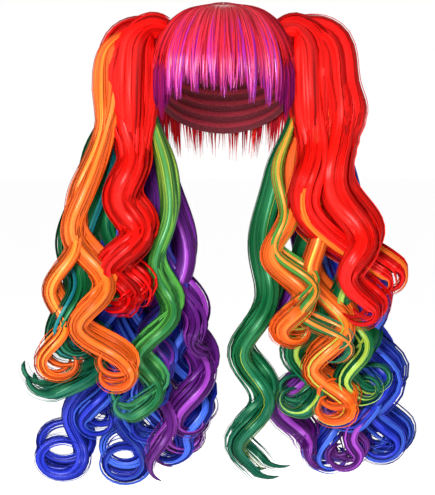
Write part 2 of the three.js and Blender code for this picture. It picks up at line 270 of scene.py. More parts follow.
# The fringe falls in uneven clumps. The tip counts from 0 at the whorl to 1 where the dome of the cap ends.
FRINGE = [
    Clump(-43.0, 1.20, 2.6, 0.3),
    Clump(-38.0, 1.12, 2.8, 0.2),
    Clump(-33.0, 1.22, 2.8, 0.7),
    Clump(-28.0, 1.08, 2.8, 0.2),
    Clump(-23.0, 1.17, 2.8, 0.9),
    Clump(-18.5, 1.08, 2.6, 0.1),
    Clump(-14.0, 1.13, 2.6, 0.3),
    Clump(-9.5, 1.10, 2.6, 0.8),
    Clump(-5.0, 1.14, 2.6, 0.1),
    Clump(-0.5, 1.20, 2.4, 0.2),
    Clump(4.0, 1.12, 2.6, 0.1),
    Clump(8.5, 1.15, 2.6, 0.2),
    Clump(13.0, 1.10, 2.6, 0.3),
    Clump(17.5, 1.16, 2.6, 0.8),
    Clump(22.0, 1.26, 2.6, 0.9),
    Clump(27.0, 1.12, 2.8, 0.2),
    Clump(32.0, 1.30, 2.6, 0.8),
    Clump(37.0, 1.16, 2.8, 0.3),
    Clump(42.0, 1.24, 2.6, 0.6),
]

# Where a ponytail's knot lies on the cap, and where the hair drawn to it starts: its bearing in degrees and
# how far along the cap. In front of the knot, hair falls straight from the whorl to its own tip.
WHORL = 0.015
KNOT = (88, 0.66)
DRAWN_FROM = (
    [(bearing, WHORL) for bearing in range(10, 176, 11)]
    + [(bearing, 0.98) for bearing in (54, 62, 70)]
    + [(bearing, 1.14) for bearing in (78, 90, 102)]
    + [(112, along) for along in (0.4, 0.65, 0.9, 1.1)]
    + [(47, along) for along in (0.4, 0.6, 0.8)]
)
SIDE_TIPS = ((46, 1.02), (52, 0.97), (58, 0.92), (64, 0.88), (70, 0.80))

# Where the fringe starts along the cap and how far from its middle it lies, then the bearings of the hair in
# the temple locks and where it starts and ends.
FRINGE_TOP = 0.08
FRINGE_RADIUS = 0.098
TEMPLES = {"left_temple_lock": (-59, -53, -47), "right_temple_lock": (47, 53, 59)}
TEMPLE_TOP = 0.82
TEMPLE_TIPS = (1.30, 1.42, 1.30)

# The clumps of hair down the back: their number, the first bearing, the degrees between them and their end.
BACK_CLUMPS = 31
BACK_FROM = 113
BACK_STEP = 4.47
BACK_TIP = 1.74

# The colours of each finish at its root, body and tip, after the hair that has it.
HAIR_PARTS = ("root", "body", "tip")
FINISHES = {
    "crown": ("hair over the cap", "D42A3E", "D8283C", "C81420"),
    "fringe": ("fringe", "EA363E", "DA263E", "B81C8E"),
    "temple": ("temple locks", "8A1034", "70084C", "5C0A4A"),
    "red": ("red hair", "D80C0A", "D80E06", "C80406"),
    "orange": ("orange hair", "E85A20", "F4681E", "EE5810"),
    "lime": ("lime locks", "A8BC3C", "4A983C", "126E62"),
    "green": ("green hair", "0C6038", "06582E", "064C40"),
    "blue": ("blue hair", "1834A0", "1426A0", "1828AA"),
    "indigo": ("indigo lock", "1C4E8C", "302E90", "2A4CBC"),
    "purple": ("purple hair", "54146F", "5A1678", "4E1266"),
}


def linear(code):
    """The scene-linear colour of a six-digit hex code."""
    channels = [int(code[k:k + 2], 16) / 255 for k in (0, 2, 4)]
    return tuple(c / 12.92 if c <= 0.04045 else ((c + 0.055) / 1.055) ** 2.4 for c in channels)


def colour(name, description, code):
    """A colour property with its default."""
    return bpy.props.FloatVectorProperty(
        name=name, description=description, subtype="COLOR", size=3, min=0.0, max=1.0, default=linear(code)
    )


def finish_colours():
    """A colour property for the root, body and tip of each finish."""
    return {
        f"{finish}_{part}": colour(f"{finish.title()} {part}", f"{part.title()} of the {hair}", code)
        for finish, (hair, *codes) in FINISHES.items()
        for part, code in zip(HAIR_PARTS, codes)
    }


def number(name, description, default, **kind):
    """A number property with its default."""
    return bpy.props.FloatProperty(name=name, description=description, default=default, **kind)


def ratio(name, description, default, low, high):
    """A property that is a share of something else."""
    return number(name, description, default, subtype="FACTOR", min=low, max=high)


def spot(name, description, default):
    """A property that is a place in the scene."""
    return bpy.props.FloatVectorProperty(
        name=name, description=description, default=default, subtype="TRANSLATION"
    )


class WigHair(bpy.types.PropertyGroup):
    """How the wisps lie in a lock. Each property is named as an input of the tree that lays the hair."""

    wisp_share: ratio("Wisp share", "Half width of a wisp over that of its lock", 0.21, 0.02, 1.0)
    flatness: ratio("Flatness", "Thickness of a wisp over its width", 0.25, 0.05, 1.0)
    spread: ratio("Spread", "How far out wisps stand in a lock, 1 is its edge", 1.0, 0.2, 1.5)
    core: ratio("Core", "Size of the full core of a lock over the lock", 0.82, 0.0, 1.0)
    frizz: ratio("Frizz", "How far a wisp strays from its line, over the lock's half width", 0.42, 0.0, 2.0)
    strands: ratio("Strands", "Thin strands for each wisp", 0.4, 0.0, 4.0)
    strays: ratio("Strays", "Loose strands for each wisp", 0.03, 0.0, 2.0)
    strand_radius: number(
        "Strand radius", "Half thickness of a thin strand", 0.0006, unit="LENGTH", min=0.0001, precision=5
    )
    seed: bpy.props.IntProperty(name="Seed", description="Start of the random places", default=7)


class WigColours(bpy.types.PropertyGroup):
    """The colours of the hair from root to tip, of the wisps in it, of the net and of the clips."""

    __annotations__ = finish_colours()
    violet: colour("Violet", "Violet wisps in the fringe", "9418AC")
    flame: colour("Flame", "Lighter wisps in the red hair", "F02A1C")
    amber: colour("Amber", "Lighter wisps in the orange hair", "F47420")
    sky: colour("Sky", "Lighter wisps in the blue hair", "3E66D8")
    teal: colour("Teal", "Bluer wisps in the green hair", "126A7C")
    spring: colour("Spring", "Yellow-green wisps in the orange and green hair", "8EA634")
    lilac: colour("Lilac", "Lighter wisps in the purple hair", "86309F")
    net: colour("Net", "Stretch net inside the cap", "6E1626")
    weft: colour("Weft", "Sewn rows inside the cap", "A02034")
    clip: colour("Clip", "Plastic of the clips", "16161A")


class WigStage(bpy.types.PropertyGroup):
    """The floor, the lights and the camera."""

    floor_height: number("Floor height", "Height over the top of the hollow", -0.80, unit="LENGTH")
    lens: number("Lens", "Focal length of the camera", 162.5, unit="CAMERA")
    camera_place: spot("Camera place", "Where the camera stands", (0.0, -2.6, -0.15))
    camera_aim: spot("Camera aim", "The point the camera looks at", (-0.0075, 0.0, -0.2708))
    key_power: number("Key power", "Strength of the main soft light", 62.0, unit="POWER")
    fill_power: number("Fill power", "Strength of the two side lights", 12.0, unit="POWER")
    backdrop: number("Backdrop", "Brightness of the light from all round", 0.26)


class Nodes:
    """Adds nodes to one tree and joins them."""

    def __init__(self, tree):
        self.tree = tree

    def add(self, kind, inputs=None, **settings):
        node = self.tree.nodes.new(kind)
        for key, value in settings.items():
            setattr(node, key, value)
        self.feed(node, inputs or {})
        return node

    def feed(self, node, inputs):
        """Sets inputs of a node, by name or by number, to a value or to what another node puts out."""
        for key, value in inputs.items():
            if isinstance(key, str):
                socket = next(s for s in node.inputs if s.name == key and s.enabled)
            else:
                socket = node.inputs[key]
            if isinstance(value, bpy.types.NodeSocket):
                self.tree.links.new(value, socket)
            else:
                socket.default_value = value

    def geometry(self, kind, inputs, **settings):
        return self.add(kind, inputs, **settings).outputs[0]

    def math(self, operation, *values):
        return self.add("ShaderNodeMath", dict(enumerate(values)), operation=operation).outputs[0]

    def times(self, first, *rest):
        for value in rest:
            first = self.math("MULTIPLY", first, value)
        return first

    def plus(self, first, second):
        return self.math("ADD", first, second)

    def minus(self, first, second):
        return self.math("SUBTRACT", first, second)

    def vector(self, operation, *values):
        return self.add("ShaderNodeVectorMath", dict(enumerate(values)), operation=operation).outputs[0]

    def scaled(self, vector, factor):
        return self.add("ShaderNodeVectorMath", {0: vector, "Scale": factor}, operation="SCALE").outputs[0]

    def combined(self, x, y, z=0.0):
        return self.add("ShaderNodeCombineXYZ", {"X": x, "Y": y, "Z": z}).outputs[0]

    def noise(self, output, inputs, dimensions="4D"):
        return self.add("ShaderNodeTexNoise", inputs, noise_dimensions=dimensions).outputs[output]

    def bump(self, strength, distance, height):
        inputs = {"Strength": strength, "Distance": distance, "Height": height}
        return self.add("ShaderNodeBump", inputs).outputs[0]

    def blend(self, factor, first, second, blend_type="MIX"):
        inputs = {0: factor, 6: first, 7: second}
        return self.add("ShaderNodeMix", inputs, data_type="RGBA", blend_type=blend_type).outputs[2]

    def attribute(self, name, output="Fac"):
        return self.add("ShaderNodeAttribute", attribute_name=name).outputs[output]

    def field(self, name, data_type="FLOAT"):
        return self.geometry("GeometryNodeInputNamedAttribute", {"Name": name}, data_type=data_type)

    def store(self, geometry, name, value, data_type="FLOAT", domain="POINT"):
        inputs = {"Geometry": geometry, "Name": name, "Value": value}
        return self.geometry("GeometryNodeStoreNamedAttribute", inputs, data_type=data_type, domain=domain)

    def ramp(self, value, low, high):
        inputs = {"Value": value, "From Min": low, "From Max": high}
        return self.add("ShaderNodeMapRange", inputs, interpolation_type="SMOOTHSTEP").outputs[0]


def sockets(tree, kind, socket_type, defaults):
    """Gives a tree its named inputs or outputs of one type."""
    for name, value in defaults.items():
        socket = tree.interface.new_socket(name=name, in_out=kind, socket_type="NodeSocket" + socket_type)
        if value is not None:
            socket.default_value = value


def hair_tree():
    """The tree that lays a core, wisps and loose strands of hair along guide lines."""
    tree = bpy.data.node_groups.new(HAIR_TREE, "GeometryNodeTree")
    tree.is_modifier = True
    sockets(tree, "INPUT", "Geometry", {"Guides": None})
    sockets(tree, "INPUT", "Float", {
        "Wisp share": 0.3, "Widest wisp": 0.0045, "Flatness": 0.3, "Shortest": 0.89, "Spread": 1.0,
        "Frizz": 0.3, "Core": 0.85, "Core thinning": 0.62, "Strands": 1.0, "Strays": 0.2,
        "Strand radius": 0.0006,
    })
    sockets(tree, "INPUT", "Int", {"Seed": 7})
    sockets(tree, "INPUT", "Material", {"Material": None})
    sockets(tree, "OUTPUT", "Geometry", {"Hair": None})
    n = Nodes(tree)
    given = n.add("NodeGroupInput").outputs
    lines = n.geometry("GeometryNodeMeshToCurve", {"Mesh": given["Guides"]})
    wide, thick, along, wisps = (n.field(name) for name in ("wide", "thick", "along", "wisps"))
    side, front = (n.field(name, "FLOAT_VECTOR") for name in ("side", "front"))
    position = n.add("GeometryNodeInputPosition").outputs[0]
    spline = n.add("GeometryNodeSplineParameter").outputs
    strand = n.add("GeometryNodeCurveOfPoint").outputs["Curve Index"]
    curve_index = n.add("GeometryNodeInputIndex").outputs[0]

    def chance(low, high, salt, owner=strand):
        """A random value for each strand."""
        inputs = {"Min": low, "Max": high, "ID": owner, "Seed": n.plus(given["Seed"], salt)}
        node = n.add("FunctionNodeRandomValue", inputs, data_type="FLOAT")
        return next(socket for socket in node.outputs if socket.enabled)

    def offset(across, deep):
        return n.vector("ADD", n.scaled(side, across), n.scaled(front, deep))

    def tubes(paths, sides, half_wide, half_thick):
        """A tube round each path, as wide and thick as its fields say."""
        paths = n.store(paths, "centre", position, "FLOAT_VECTOR")
        sizes = {"half_wide": half_wide, "half_thick": half_thick, "reach": spline["Length"]}
        for name, value in sizes.items():
            paths = n.store(paths, name, value)
        inputs = {"Resolution": sides, "Radius": 0.001}
        circle = n.geometry("GeometryNodeCurvePrimitiveCircle", inputs, mode="RADIUS")
        circle = n.store(circle, "around", spline["Factor"])
        inputs = {"Curve": paths, "Profile Curve": circle, "Fill Caps": True}
        mesh = n.geometry("GeometryNodeCurveToMesh", inputs)
        around = n.field("around")
        angle = n.times(n.plus(around, 0.25), math.tau)
        across = n.times(n.math("COSINE", angle), n.field("half_wide"))
        deep = n.times(n.math("SINE", angle), n.field("half_thick"))
        mesh = n.store(mesh, "grain", n.combined(across, deep, n.field("reach")), "FLOAT_VECTOR")
        place = n.vector("ADD", n.field("centre", "FLOAT_VECTOR"), offset(across, deep))
        mesh = n.geometry("GeometryNodeSetPosition", {"Geometry": mesh, "Position": place})
        mesh = n.store(mesh, "UVMap", n.combined(around, along), "FLOAT2", "CORNER")
        mesh = n.geometry("GeometryNodeSetShadeSmooth", {"Geometry": mesh, "Shade Smooth": True})
        if sides > 3:
            return mesh
        mesh = n.store(mesh, "keel", n.math("GREATER_THAN", around, 0.1))
        edge = n.math("GREATER_THAN", n.field("keel"), 0.99)
        inputs = {"Geometry": mesh, "Selection": edge, "Shade Smooth": False}
        return n.geometry("GeometryNodeSetShadeSmooth", inputs, domain="EDGE")

    def strands(amount, nearest, furthest, drift, frizz, shortest, salt):
        """Copies of each guide, each in its own place in the lock, of its own length and facing outwards."""
        inputs = {"Geometry": lines, "Amount": amount}
        paths = n.geometry("GeometryNodeDuplicateElements", inputs, domain="SPLINE")
        wound = n.times(along, n.times(chance(-1.0, 1.0, salt + 1), drift))
        turn = n.plus(chance(0.0, math.tau, salt), wound)
        across, deep = n.math("COSINE", turn), n.math("SINE", turn)
        stand = n.times(chance(nearest, furthest, salt + 2), given["Spread"])
        move = offset(n.times(across, stand, wide), n.times(deep, stand, thick))
        wander = {"Vector": position, "W": chance(0.0, 90.0, salt + 3), "Scale": 14.0, "Detail": 1.0}
        wander = n.vector("SUBTRACT", n.noise("Color", wander), (0.5, 0.5, 0.5))
        loose = n.times(frizz, wide, n.ramp(along, 0.05, 0.6))
        move = n.vector("ADD", move, n.scaled(wander, loose))
        paths = n.geometry("GeometryNodeSetPosition", {"Geometry": paths, "Offset": move})
        flat = n.vector("NORMALIZE", offset(n.times(deep, wide), n.times(across, thick, -1.0)))
        outward = n.vector("NORMALIZE", offset(n.times(across, thick), n.times(deep, wide)))
        turned = (("flat", flat), ("front", outward), ("side", n.field("flat", "FLOAT_VECTOR")))
        for name, value in turned:
            paths = n.store(paths, name, value, "FLOAT_VECTOR")
        paths = n.store(paths, "shade", chance(0.0, 1.0, salt + 4))
        accent = n.math("LESS_THAN", chance(0.0, 1.0, salt + 5), n.field("accent"))
        paths = n.store(paths, "tint", accent)
        end = chance(shortest, 1.0, salt + 6, curve_index)
        return n.geometry("GeometryNodeTrimCurve", {"Curve": paths, "End": end}, mode="FACTOR")

    begun = n.ramp(spline["Factor"], -0.06, 0.06)
    ends = n.times(begun, n.minus(1.0, n.ramp(spline["Factor"], 0.83, 1.03)))
    thinned = n.times(n.ramp(along, 0.5, 1.0), given["Core thinning"])
    full = n.times(given["Core"], n.minus(1.0, thinned))
    core = tubes(lines, 8, n.times(wide, full), n.times(thick, full))
    # The core gets a low shade value, so it is painted dark: painted shade that shows in the gaps between
    # the wisps.
    for name, value in (("shade", 0.22), ("tint", 0.0)):
        core = n.store(core, name, value)
    girth = n.times(n.plus(wide, thick), 0.5)
    half = n.times(given["Wisp share"], chance(0.5, 1.5, 40), ends, girth)
    half = n.math("MINIMUM", half, given["Widest wisp"])
    fine = n.times(given["Strand radius"], n.plus(n.times(ends, 0.75), 0.25))
    thin = n.times(fine, 0.6)
    wisp = strands(
        wisps, nearest=0.7, furthest=1.02, drift=0.9,
        frizz=given["Frizz"], shortest=given["Shortest"], salt=11,
    )
    close = strands(
        n.times(wisps, given["Strands"]), nearest=0.76, furthest=0.96, drift=1.2,
        frizz=n.times(given["Frizz"], 0.4), shortest=n.times(given["Shortest"], 0.9), salt=23,
    )
    stray = strands(
        n.times(wisps, given["Strays"]), nearest=0.7, furthest=0.95, drift=2.0,
        frizz=n.times(given["Frizz"], 1.5), shortest=0.6, salt=37,
    )
    hair = n.add("GeometryNodeJoinGeometry")
    for part in (
        core,
        tubes(wisp, 3, half, n.times(half, given["Flatness"])),
        tubes(close, 3, fine, fine),
        tubes(stray, 3, thin, thin),
    ):
        tree.links.new(part, hair.inputs[0])
    hair = n.geometry("GeometryNodeRealizeInstances", {"Geometry": hair.outputs[0]})
    hair = n.geometry("GeometryNodeSetMaterial", {"Geometry": hair, "Material": given["Material"]})
    tree.links.new(hair, n.add("NodeGroupOutput").inputs[0])
    return tree


def hair_finish():
    """The shader group for a strand: its colour from root to tip, its streaks and where it catches light."""
    group = bpy.data.node_groups.new(HAIR_FINISH, "ShaderNodeTree")
    sockets(group, "INPUT", "Color", dict.fromkeys(("Root", "Body", "Tip", "Accent")))
    sockets(group, "INPUT", "Float", {"Accent start": 0.0, "Streaks": 0.5})
    sockets(group, "OUTPUT", "Color", {"Colour": None})
    sockets(group, "OUTPUT", "Vector", {"Normal": None})
    sockets(group, "OUTPUT", "Float", {"Glint": None})
    n = Nodes(group)
    given = n.add("NodeGroupInput").outputs
    along, shade, tint = (n.attribute(name) for name in ("along", "shade", "tint"))
    aside = n.minus(shade, 0.5)
    shifted = n.plus(along, n.times(aside, 0.16))
    base = n.blend(n.ramp(shifted, 0.02, 0.45), given["Root"], given["Body"])
    base = n.blend(n.ramp(shifted, 0.62, 1.0), base, given["Tip"])
    begun = n.ramp(shifted, given["Accent start"], n.plus(given["Accent start"], 0.22))
    base = n.blend(n.times(tint, 0.85, begun), base, given["Accent"])
    grain = n.vector("MULTIPLY", n.attribute("grain", "Vector"), (1.0, 1.0, STREAK_STRETCH))
    streak = n.noise("Fac", {
        "Vector": grain, "W": n.times(shade, 31.0), "Scale": STREAK_SCALE, "Detail": 4.0, "Roughness": 0.74,
    })
    contrast = n.times(n.minus(streak, 0.5), n.times(given["Streaks"], 4.8))
    # A low shade value darkens the colour: a random tone for each wisp, and painted shade on the dark core.
    level = n.plus(n.plus(contrast, 0.46), n.times(shade, 0.82))
    level = n.math("MINIMUM", n.math("MAXIMUM", level, 0.18), 1.5)
    tone = n.add("ShaderNodeCombineColor", {"Red": level, "Green": level, "Blue": level}).outputs[0]
    caught = n.plus(streak, n.times(aside, 0.3))
    n.add("NodeGroupOutput", {
        "Colour": n.blend(1.0, base, tone, "MULTIPLY"),
        "Normal": n.bump(0.6, 0.0006, streak),
        "Glint": n.times(n.ramp(caught, 0.40, 0.66), n.ramp(along, 0.14, 0.40)),
    })
    return group


def new_material(name):
    """A new material, its nodes and its shader."""
    material = bpy.data.materials.new(name)
    material.use_nodes = True
    return material, Nodes(material.node_tree), material.node_tree.nodes["Principled BSDF"]


def hair_material(name, finish, accent, streaks=0.5, accent_start=FROM_ROOT, gloss=0.16, roughness=0.36):
    """A glossy hair material from the colours of a finish and of the wisps in it."""
    colours = bpy.context.scene.wig_colours
    short = finish.split("_")[0]
    root, body, tip = (getattr(colours, f"{short}_{part}") for part in HAIR_PARTS)
    layers = {"Root": root, "Body": body, "Tip": tip, "Accent": getattr(colours, accent)}
    material, n, shader = new_material(name)
    group = bpy.data.node_groups.get(HAIR_FINISH) or hair_finish()
    hair = n.add("ShaderNodeGroup", {"Streaks": streaks, "Accent start": accent_start}, node_tree=group)
    n.feed(hair, {key: (*value, 1.0) for key, value in layers.items()})
    glint = hair.outputs["Glint"]
    n.feed(shader, {
        "Base Color": hair.outputs["Colour"],
        "Normal": hair.outputs["Normal"],
        "Tangent": n.attribute("side", "Vector"),
        "Roughness": n.minus(roughness + 0.12, n.times(glint, 0.2)),
        "Specular IOR Level": min(0.1 + 2.4 * gloss, 0.5),
        "Specular Tint": (*(0.2 + 0.8 * c / max(body) for c in body), 1.0),
        "Anisotropic": 0.85,
        "Coat Weight": n.times(glint, min(1.8 * gloss, 1.0)),
        "Coat Roughness": 0.28,
        "Coat IOR": 1.7,
    })
    return material


def net_material(colours):
    """Stretch net with rows of sewn wefts."""
    material, n, shader = new_material("cap net")
    row = n.math("SINE", n.times(n.attribute("along"), math.tau * WEFT_ROWS))
    place = n.add("ShaderNodeTexCoord").outputs["Object"]
    cells = n.add("ShaderNodeTexVoronoi", {"Vector": place, "Scale": 420.0}, feature="DISTANCE_TO_EDGE")
    hole = n.ramp(cells.outputs[0], 0.05, 0.25)
    n.feed(shader, {
        "Base Color": n.blend(n.ramp(row, 0.0, 0.5), (*colours.net, 1.0), (*colours.weft, 1.0)),
        "Normal": n.bump(0.6, 0.0008, n.minus(row, hole)),
        "Roughness": 0.75,
    })
    return material


def clip_material(colours):
    """Plain plastic with a fine moulded grain."""
    material, n, shader = new_material("clip plastic")
    place = n.add("ShaderNodeTexCoord").outputs["Object"]
    grain = n.noise("Fac", {"Vector": place, "Scale": 700.0, "Detail": 2.0}, "3D")
    n.feed(shader, {
        "Base Color": (*colours.clip, 1.0), "Roughness": 0.42, "Normal": n.bump(0.2, 0.0004, grain),
    })
    return material


def wall_point(bearing, along, lift, squareness=SQUARENESS):
    """A point on the cap: bearing 0 is the front, along is 0 at the whorl and 1 where the dome ends."""
    angle = min(along, 1.0) * math.pi / 2
    below = max(along - 1.0, 0.0)
    out = math.sin(angle) ** (2 / squareness) * (1 - TUCK * below * below)
    up = max(math.cos(angle), 0.0) ** (2 / squareness) * (HOLLOW["high"] + lift) - below * DROP
    return Vector((
        (HOLLOW["wide"] + lift) * out * math.sin(bearing),
        -(HOLLOW["long"] + lift) * out * math.cos(bearing),
        up - HOLLOW["high"],
    ))


def rim_along(bearing):
    """How far along the cap its edge lies, from the front round the ear to the nape."""
    turn = 0.5 - 0.5 * math.cos(bearing)
    low, high = (RIM["front"], RIM["ear"]) if turn < 0.5 else (RIM["ear"], RIM["nape"])
    height = lerp(low, high, 2 * turn if turn < 0.5 else 2 * turn - 1)
    if height < -HOLLOW["high"]:
        return 1 + (-HOLLOW["high"] - height) / DROP
    rise = (height + HOLLOW["high"]) / HOLLOW["high"]
    return math.acos(rise ** (SQUARENESS / 2)) * 2 / math.pi


def lerp(a, b, share):
    return a + (b - a) * share


def smooth(value, low, high):
    share = min(max((value - low) / (high - low), 0.0), 1.0)
    return share * share * (3 - 2 * share)


def heading(place, s, step):
    """The way that a path runs at a share of its length."""
    return (place(min(s + step, 1.0)) - place(max(s - step, 0.0))).normalized()


def level_side(tangent):
    """The way across a path that falls, as seen from the front."""
    return Vector((-tangent.z, 0.0, tangent.x)).normalized()


def clear_of_cap(point, room):
    """Moves a point sideways until it lies outside the cap's wall."""
    if point.z > -0.001 or point.z < -HOLLOW["high"] - DROP:
        return point
    lift = WALL + room
    if point.z > -HOLLOW["high"]:
        rise = (point.z + HOLLOW["high"]) / (HOLLOW["high"] + lift)
        angle = math.acos(min(max(rise, 0.0) ** (SQUARENESS / 2), 1.0))
        out = math.sin(angle) ** (2 / SQUARENESS)
    else:
        below = (-HOLLOW["high"] - point.z) / DROP
        out = 1 - TUCK * below * below
    across, deep = point.x / (HOLLOW["wide"] + lift), point.y / (HOLLOW["long"] + lift)
    distance = math.hypot(across, deep) / max(out, 0.01)
    if distance >= 1.0 or distance < 0.3:
        return point
    outside = Vector((point.x / distance, point.y / distance, point.z))
    return point.lerp(outside, smooth(point.z, CLEAR_LOW, CLEAR_HIGH))


def in_metres(row):
    """A row of a table with its lengths in metres."""
    return row._replace(**{key: getattr(row, key) / 1000 for key in LENGTHS.intersection(row._fields)})


def lock_line(lock, root):
    """The stations down one lock and round the curl that it ends in."""
    tip = Vector((lock.x, lock.y, lock.z))

    def place(s):
        sway = lock.sway * smooth(s, *SWAY_GROWS)
        turn = math.tau * (lock.waves * s ** TIGHTEN + lock.phase)
        point = root.lerp(tip, s)
        point.x += 4 * lock.bow * s * (1 - s) + sway * math.sin(turn)
        point.y += sway * DEPTH_SWAY * math.cos(turn)
        return point

    stations = []
    narrow = min(FULLER * lock.slim, 1.1 * abs(lock.ring))
    drop = (root - tip).length
    around = abs(lock.ring) * math.radians(lock.curl)
    whole = drop + around
    for k in range(LOCK_STEPS + 1):
        s = (k / LOCK_STEPS) ** STEP_EASE
        tangent = heading(place, s, 0.01)
        body = lerp(ROOT_SIZE, 1.0, smooth(s, 0.0, ROOT_END))
        wide = lerp(lerp(lock.wide, FULLER * lock.slim, s), narrow, smooth(s, 0.72, 1.0)) * body
        thick = lock.thick * body
        point = clear_of_cap(place(s), 0.6 * thick)
        stations.append(Station(point, level_side(tangent), FORWARD, wide, thick, s * drop / whole))
    return stations + curl_line(lock, stations[-1], tangent, drop, around)


def curl_line(lock, last, tangent, drop, around):
    """The stations round the hook or ring at the tip of a lock, which drifts back as it turns."""
    begin = math.atan2(tangent.x, -tangent.z)
    size = min(0.95 * lock.slim, 0.6 * abs(lock.ring))
    taper = RING_TAPER if lock.curl > HOOK else HOOK_TAPER
    steps = math.ceil(lock.curl / RING_STEP)
    turn = math.copysign(math.radians(lock.curl) / steps, lock.ring)
    stride = around / steps
    point = last.point.copy()
    stations = []
    for k in range(1, steps + 1):
        share = k / steps
        midway = begin + (k - 0.5) * turn
        point += Vector((
            RING_WIDE * stride * math.sin(midway), lock.slim / steps, -stride * math.cos(midway)
        ))
        facing = begin + k * turn
        side = Vector((math.cos(facing), 0.0, math.sin(facing)))
        body = size * math.sqrt(min(1.0, 0.04 + taper * (1 - share)))
        wide, thick = (lerp(start, body, smooth(share, 0.0, 0.25)) for start in (last.wide, last.thick))
        along = (drop + share * around) / (drop + around)
        stations.append(Station(point.copy(), side, FORWARD, wide, thick, along))
    return stations


def parted(lock, root):
    """The slimmer locks that one lock parts into, each with its own root and out of step with the next."""
    for part in PARTS:
        tip = lock.x + part.across * 0.5 * lock.slim
        yield part, root + Vector((part.across * 0.5 * lock.wide, part.deep, 0.0)), lock._replace(
            x=min(max(tip, TIP_LEFT), TIP_RIGHT), y=lock.y + part.deep, z=lock.z * part.drop,
            wide=lock.wide * part.size, slim=lock.slim * part.size, thick=lock.thick * (0.1 + part.size),
            sway=lock.sway * part.swing, phase=lock.phase + part.lag,
            ring=lock.ring * part.turn, curl=lock.curl * (0.4 + 0.6 * part.turn),
        )


def head_line(rows):
    """The stations through a ponytail's full head, from the knot over its top and down."""
    rows = [in_metres(row) for row in rows]

    def blended(s):
        """The row at a share of the way, on a smooth curve through all the rows."""
        spot = s * (len(rows) - 1)
        k = min(int(spot), len(rows) - 2)
        share = spot - k
        a, b, c, d = (Vector(rows[min(max(k + step, 0), len(rows) - 1)]) for step in (-1, 0, 1, 2))
        return 0.5 * (2 * b + (c - a) * share + (2 * a - 5 * b + 4 * c - d) * share ** 2
                      + (3 * b - a - 3 * c + d) * share ** 3)

    def place(s):
        return Vector(blended(s)[:3])

    stations = []
    for k in range(HEAD_STEPS + 1):
        s = k / HEAD_STEPS
        tangent = heading(place, s, 0.01)
        side = level_side(tangent)
        wide, thick = blended(s)[3:]
        stations.append(Station(place(s), side, tangent.cross(side), wide, thick, 0.45 * s))
    return stations


def stream_line(head, lock, shift, size, depth):
    """The stations of hair that runs over a head, on one side of it, and on down a lock."""

    def beside(station, share):
        return station.point + station.side * (shift * share * station.wide)

    stations = []
    for k, station in enumerate(head):
        if station.point.z < JOIN_TOP and k > len(head) // 3:
            break
        share = lerp(0.3, 1.0, smooth(k, 0, len(head) * 0.4))
        stations.append(station._replace(
            point=beside(station, share), wide=station.wide * size, thick=station.thick * depth,
        ))
    falling = head[len(head) // 3:]
    for station in lock:
        if station.point.z > JOIN_TOP:
            continue
        joined = smooth(-station.point.z, -JOIN_TOP, -JOIN_END)
        above = min(falling, key=lambda other: abs(other.point.z - station.point.z))
        point = beside(above, 1.0)
        point.z = station.point.z
        stations.append(Station(
            point.lerp(station.point, joined), above.side.lerp(station.side, joined),
            above.front.lerp(station.front, joined), lerp(above.wide * size, station.wide, joined),
            lerp(above.thick * depth, station.thick, joined), 0.0,
        ))
    whole = len(stations) - 1
    return [station._replace(along=k / whole) for k, station in enumerate(stations)]


def cap_line(bearings, alongs, lift, wide, thick, lean=0.0):
    """The stations over the cap, between two bearings in degrees and two places along it.

    Lift, wide and thick each give a length from the share of the way. The lean turns the lower half aside.
    """
    first, last = map(math.radians, bearings)

    def place(s, proud=0.0):
        bearing = lerp(first, last, s) + math.radians(lean) * smooth(s, 0.5, 1.0)
        return wall_point(bearing, lerp(*alongs, s), lift(s) + proud, HAIR_SQUARENESS)

    stations = []
    for k in range(STRIP_STEPS + 1):
        s = k / STRIP_STEPS
        tangent = heading(place, s, 0.02)
        front = (place(s, 0.002) - place(s)).normalized()
        front = (front - tangent * front.dot(tangent)).normalized()
        stations.append(Station(place(s), front.cross(tangent), front, wide(s), thick(s), s))
    return stations


def off_wall(low, high, by):
    """A lift that eases from one height over the cap's wall to another, by a share of the way."""
    return lambda s: WALL + lerp(low, high, smooth(s, 0.0, by))


def fanned(along):
    """How far hair from the whorl has fanned out, so that neighbours still touch."""
    return math.sin(min(along, 1.0) * math.pi / 2) ** 0.85


class Guides:
    """Guide lines as a mesh of edges, with the size and bearing of the lock at each point."""

    def __init__(self):
        self.stations = []
        self.edges = []

    def add(self, stations, wisps, accent):
        first = len(self.stations)
        self.stations += [station._replace(wisps=wisps, accent=accent) for station in stations]
        self.edges += [(k, k + 1) for k in range(first, len(self.stations) - 1)]

    def mesh(self, name):
        mesh = bpy.data.meshes.new(name)
        mesh.from_pydata([s.point for s in self.stations], self.edges, [])
        for key in ("wide", "thick", "along", "wisps", "accent"):
            numbers = [float(getattr(s, key)) for s in self.stations]
            mesh.attributes.new(key, "FLOAT", "POINT").data.foreach_set("value", numbers)
        for key in ("side", "front"):
            numbers = [c for s in self.stations for c in getattr(s, key)]
            mesh.attributes.new(key, "FLOAT_VECTOR", "POINT").data.foreach_set("vector", numbers)
        return mesh


def placed(name, data):
    """A new object in the scene."""
    item = bpy.data.objects.new(name, data)
    bpy.context.scene.collection.objects.link(item)
    return item


